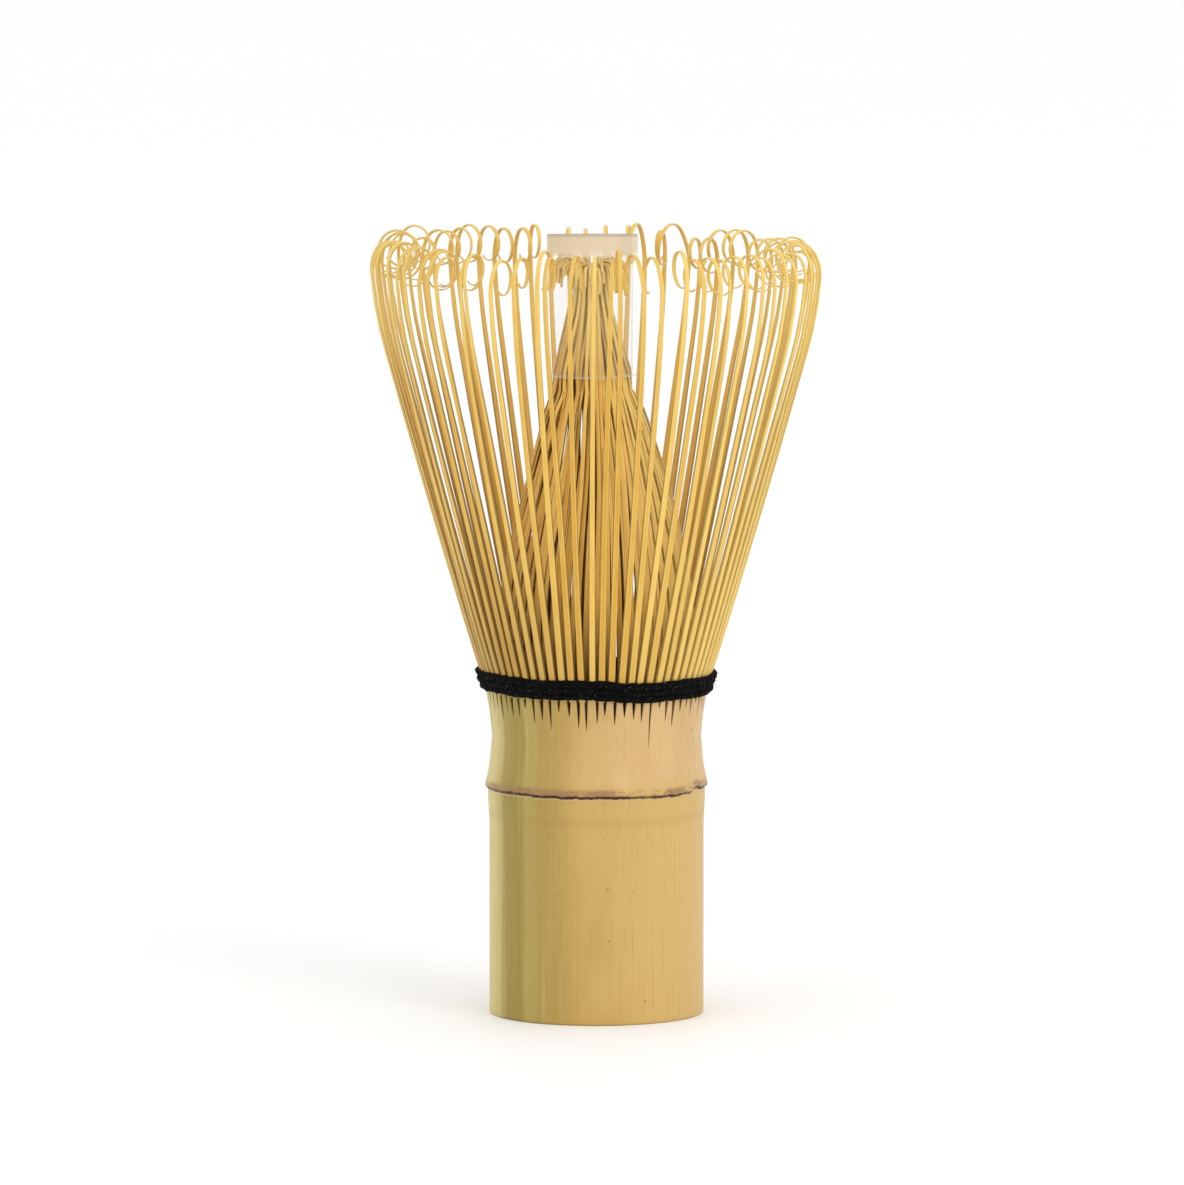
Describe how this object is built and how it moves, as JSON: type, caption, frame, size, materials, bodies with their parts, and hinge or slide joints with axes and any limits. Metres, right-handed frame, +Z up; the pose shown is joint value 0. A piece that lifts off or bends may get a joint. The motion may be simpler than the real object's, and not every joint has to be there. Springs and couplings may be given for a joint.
{
  "type": "bamboo tea whisk",
  "caption": "Bamboo tea whisk: hollow culm handle with a node, outer tines leaning out to curled tips, inner tines gathered in a rolled film sleeve, bound with black thread.",
  "frame": {"origin": "centre of the handle's foot, where the whisk stands", "axes": "+Z up along the handle towards the tines' tips; X and Y across, with the thread's tie-off on the +Y side"},
  "size_m": [0.0604, 0.0604, 0.1062],
  "materials": {
    "bamboo_handle": "satin, peeled and dried culm",
    "bamboo_tine": "satin, golden split bamboo",
    "bamboo_inside": "matt, pale inner wall",
    "thread": "black twisted cotton",
    "film": "clear, slightly milky film"
  },
  "bodies": {
    "culm": {"handle": "bamboo_handle", "node_ring": "bamboo_handle", "node_diaphragm": "bamboo_inside", "root_collar": "bamboo_handle", "binding_thread_lower": "thread", "binding_thread_middle": "thread", "binding_thread_upper": "thread", "binding_thread_inner": "thread", "binding_knot": "thread"},
    "outer_tines_01": {"outer_tines_01": "bamboo_tine"},
    "outer_tines_02": {"outer_tines_02": "bamboo_tine"},
    "outer_tines_03": {"outer_tines_03": "bamboo_tine"},
    "outer_tines_04": {"outer_tines_04": "bamboo_tine"},
    "outer_tines_05": {"outer_tines_05": "bamboo_tine"},
    "outer_tines_06": {"outer_tines_06": "bamboo_tine"},
    "outer_tines_07": {"outer_tines_07": "bamboo_tine"},
    "outer_tines_08": {"outer_tines_08": "bamboo_tine"},
    "outer_tines_09": {"outer_tines_09": "bamboo_tine"},
    "outer_tines_10": {"outer_tines_10": "bamboo_tine"},
    "outer_tines_11": {"outer_tines_11": "bamboo_tine"},
    "outer_tines_12": {"outer_tines_12": "bamboo_tine"},
    "inner_tines_01": {"inner_tines_01": "bamboo_tine"},
    "inner_tines_02": {"inner_tines_02": "bamboo_tine"},
    "inner_tines_03": {"inner_tines_03": "bamboo_tine"},
    "inner_tines_04": {"inner_tines_04": "bamboo_tine"},
    "inner_tines_05": {"inner_tines_05": "bamboo_tine"},
    "inner_tines_06": {"inner_tines_06": "bamboo_tine"},
    "inner_tines_07": {"inner_tines_07": "bamboo_tine"},
    "inner_tines_08": {"inner_tines_08": "bamboo_tine"},
    "inner_tines_09": {"inner_tines_09": "bamboo_tine"},
    "inner_tines_10": {"inner_tines_10": "bamboo_tine"},
    "inner_tines_11": {"inner_tines_11": "bamboo_tine"},
    "inner_tines_12": {"inner_tines_12": "bamboo_tine"},
    "film_sleeve": {"film_sleeve": "film"}
  },
  "joints": [
    {"name": "outer_flex_01", "type": "hinge", "parent": "culm", "child": "outer_tines_01", "pos_m": [0.0147, 0, 0.0453], "axis": [0, 1, 0], "range_deg": [-2, 5], "stiffness_Nm_per_rad": 0.044},
    {"name": "outer_flex_02", "type": "hinge", "parent": "culm", "child": "outer_tines_02", "pos_m": [0.01273, 0.00735, 0.0453], "axis": [-0.5, 0.866, 0], "range_deg": [-2, 5], "stiffness_Nm_per_rad": 0.044},
    {"name": "outer_flex_03", "type": "hinge", "parent": "culm", "child": "outer_tines_03", "pos_m": [0.00735, 0.01273, 0.0453], "axis": [-0.866, 0.5, 0], "range_deg": [-2, 5], "stiffness_Nm_per_rad": 0.044},
    {"name": "outer_flex_04", "type": "hinge", "parent": "culm", "child": "outer_tines_04", "pos_m": [0, 0.0147, 0.0453], "axis": [-1, 0, 0], "range_deg": [-2, 5], "stiffness_Nm_per_rad": 0.044},
    {"name": "outer_flex_05", "type": "hinge", "parent": "culm", "child": "outer_tines_05", "pos_m": [-0.00735, 0.01273, 0.0453], "axis": [-0.866, -0.5, 0], "range_deg": [-2, 5], "stiffness_Nm_per_rad": 0.044},
    {"name": "outer_flex_06", "type": "hinge", "parent": "culm", "child": "outer_tines_06", "pos_m": [-0.01273, 0.00735, 0.0453], "axis": [-0.5, -0.866, 0], "range_deg": [-2, 5], "stiffness_Nm_per_rad": 0.044},
    {"name": "outer_flex_07", "type": "hinge", "parent": "culm", "child": "outer_tines_07", "pos_m": [-0.0147, 0, 0.0453], "axis": [0, -1, 0], "range_deg": [-2, 5], "stiffness_Nm_per_rad": 0.044},
    {"name": "outer_flex_08", "type": "hinge", "parent": "culm", "child": "outer_tines_08", "pos_m": [-0.01273, -0.00735, 0.0453], "axis": [0.5, -0.866, 0], "range_deg": [-2, 5], "stiffness_Nm_per_rad": 0.044},
    {"name": "outer_flex_09", "type": "hinge", "parent": "culm", "child": "outer_tines_09", "pos_m": [-0.00735, -0.01273, 0.0453], "axis": [0.866, -0.5, 0], "range_deg": [-2, 5], "stiffness_Nm_per_rad": 0.044},
    {"name": "outer_flex_10", "type": "hinge", "parent": "culm", "child": "outer_tines_10", "pos_m": [0, -0.0147, 0.0453], "axis": [1, 0, 0], "range_deg": [-2, 5], "stiffness_Nm_per_rad": 0.044},
    {"name": "outer_flex_11", "type": "hinge", "parent": "culm", "child": "outer_tines_11", "pos_m": [0.00735, -0.01273, 0.0453], "axis": [0.866, 0.5, 0], "range_deg": [-2, 5], "stiffness_Nm_per_rad": 0.044},
    {"name": "outer_flex_12", "type": "hinge", "parent": "culm", "child": "outer_tines_12", "pos_m": [0.01273, -0.00735, 0.0453], "axis": [0.5, 0.866, 0], "range_deg": [-2, 5], "stiffness_Nm_per_rad": 0.044},
    {"name": "inner_flex_01", "type": "hinge", "parent": "culm", "child": "inner_tines_01", "pos_m": [0.01241, 0, 0.0453], "axis": [0, 1, 0], "range_deg": [0, 2.5]},
    {"name": "inner_flex_02", "type": "hinge", "parent": "culm", "child": "inner_tines_02", "pos_m": [0.01075, 0.0062, 0.0453], "axis": [-0.5, 0.866, 0], "range_deg": [0, 2.5]},
    {"name": "inner_flex_03", "type": "hinge", "parent": "culm", "child": "inner_tines_03", "pos_m": [0.0062, 0.01075, 0.0453], "axis": [-0.866, 0.5, 0], "range_deg": [0, 2.5]},
    {"name": "inner_flex_04", "type": "hinge", "parent": "culm", "child": "inner_tines_04", "pos_m": [0, 0.01241, 0.0453], "axis": [-1, 0, 0], "range_deg": [0, 2.5]},
    {"name": "inner_flex_05", "type": "hinge", "parent": "culm", "child": "inner_tines_05", "pos_m": [-0.0062, 0.01075, 0.0453], "axis": [-0.866, -0.5, 0], "range_deg": [0, 2.5]},
    {"name": "inner_flex_06", "type": "hinge", "parent": "culm", "child": "inner_tines_06", "pos_m": [-0.01075, 0.0062, 0.0453], "axis": [-0.5, -0.866, 0], "range_deg": [0, 2.5]},
    {"name": "inner_flex_07", "type": "hinge", "parent": "culm", "child": "inner_tines_07", "pos_m": [-0.01241, 0, 0.0453], "axis": [0, -1, 0], "range_deg": [0, 2.5]},
    {"name": "inner_flex_08", "type": "hinge", "parent": "culm", "child": "inner_tines_08", "pos_m": [-0.01075, -0.0062, 0.0453], "axis": [0.5, -0.866, 0], "range_deg": [0, 2.5]},
    {"name": "inner_flex_09", "type": "hinge", "parent": "culm", "child": "inner_tines_09", "pos_m": [-0.0062, -0.01075, 0.0453], "axis": [0.866, -0.5, 0], "range_deg": [0, 2.5]},
    {"name": "inner_flex_10", "type": "hinge", "parent": "culm", "child": "inner_tines_10", "pos_m": [0, -0.01241, 0.0453], "axis": [1, 0, 0], "range_deg": [0, 2.5]},
    {"name": "inner_flex_11", "type": "hinge", "parent": "culm", "child": "inner_tines_11", "pos_m": [0.0062, -0.01075, 0.0453], "axis": [0.866, 0.5, 0], "range_deg": [0, 2.5]},
    {"name": "inner_flex_12", "type": "hinge", "parent": "culm", "child": "inner_tines_12", "pos_m": [0.01075, -0.0062, 0.0453], "axis": [0.5, 0.866, 0], "range_deg": [0, 2.5]},
    {"name": "sleeve_lift", "type": "slide", "parent": "culm", "child": "film_sleeve", "axis": [0, 0, 1], "range_m": [0, 0.06]}
  ],
  "couplings": [
    {"joint": "inner_flex_01", "follows": "sleeve_lift", "rad_per_m": 0.69813},
    {"joint": "inner_flex_02", "follows": "sleeve_lift", "rad_per_m": 0.69813},
    {"joint": "inner_flex_03", "follows": "sleeve_lift", "rad_per_m": 0.69813},
    {"joint": "inner_flex_04", "follows": "sleeve_lift", "rad_per_m": 0.69813},
    {"joint": "inner_flex_05", "follows": "sleeve_lift", "rad_per_m": 0.69813},
    {"joint": "inner_flex_06", "follows": "sleeve_lift", "rad_per_m": 0.69813},
    {"joint": "inner_flex_07", "follows": "sleeve_lift", "rad_per_m": 0.69813},
    {"joint": "inner_flex_08", "follows": "sleeve_lift", "rad_per_m": 0.69813},
    {"joint": "inner_flex_09", "follows": "sleeve_lift", "rad_per_m": 0.69813},
    {"joint": "inner_flex_10", "follows": "sleeve_lift", "rad_per_m": 0.69813},
    {"joint": "inner_flex_11", "follows": "sleeve_lift", "rad_per_m": 0.69813},
    {"joint": "inner_flex_12", "follows": "sleeve_lift", "rad_per_m": 0.69813}
  ]
}
